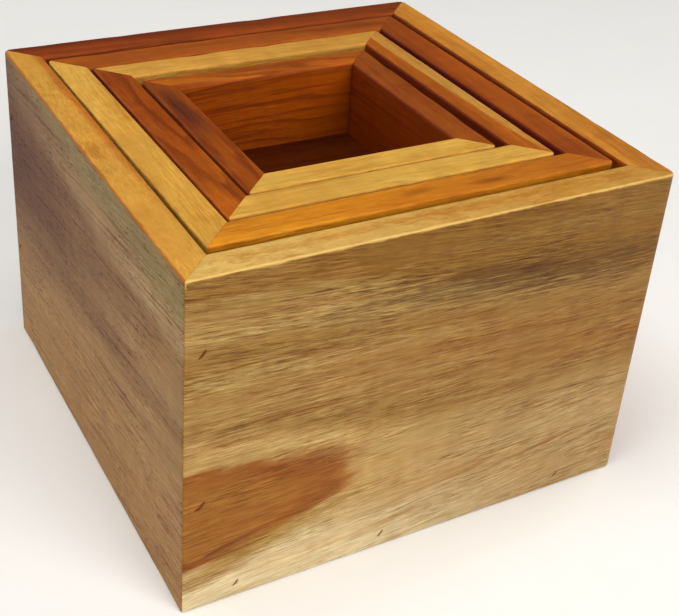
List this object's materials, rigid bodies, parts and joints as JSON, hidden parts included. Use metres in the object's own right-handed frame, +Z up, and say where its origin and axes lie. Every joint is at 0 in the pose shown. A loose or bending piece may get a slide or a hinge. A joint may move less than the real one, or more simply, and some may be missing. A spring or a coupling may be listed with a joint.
{
  "type": "wooden puzzle box",
  "caption": "Square wooden puzzle box: open boxes with mitred walls nest one inside another, rims level, and each lifts straight out of the next.",
  "frame": {"origin": "centre of the outer box's underside, on the surface it stands on", "axes": "+Z up through the open tops, +X to the right along the front wall, +Y to the back"},
  "size_m": [0.14, 0.14, 0.0995],
  "materials": {
    "honey_wood": "satin oil or wax over open-grained hardwood",
    "straw_wood": "satin oil or wax over open-grained hardwood",
    "amber_wood": "satin oil or wax over open-grained hardwood",
    "russet_wood": "satin oil or wax over open-grained hardwood",
    "brown_wood": "satin oil or wax over open-grained hardwood",
    "steel": "plain wire"
  },
  "bodies": {
    "outer_box": {"outer_front_wall": "honey_wood", "outer_back_wall": "russet_wood", "outer_left_wall": "brown_wood", "outer_right_wall": "amber_wood", "outer_floor": "brown_wood", "outer_brads": "steel"},
    "second_box": {"second_front_wall": "amber_wood", "second_back_wall": "russet_wood", "second_left_wall": "honey_wood", "second_right_wall": "russet_wood", "second_floor": "brown_wood", "second_brads": "steel"},
    "third_box": {"third_front_wall": "straw_wood", "third_back_wall": "straw_wood", "third_left_wall": "russet_wood", "third_right_wall": "amber_wood", "third_floor": "brown_wood", "third_brads": "steel"},
    "smallest_box": {"smallest_front_wall": "straw_wood", "smallest_back_wall": "amber_wood", "smallest_left_wall": "russet_wood", "smallest_right_wall": "russet_wood", "smallest_floor": "brown_wood", "smallest_brads": "steel"}
  },
  "joints": [
    {"name": "second_box_lift", "type": "slide", "parent": "outer_box", "child": "second_box", "axis": [0, 0, 1], "range_m": [0, 0.101]},
    {"name": "third_box_lift", "type": "slide", "parent": "second_box", "child": "third_box", "axis": [0, 0, 1], "range_m": [0, 0.0785]},
    {"name": "smallest_box_lift", "type": "slide", "parent": "third_box", "child": "smallest_box", "axis": [0, 0, 1], "range_m": [0, 0.056]}
  ]
}
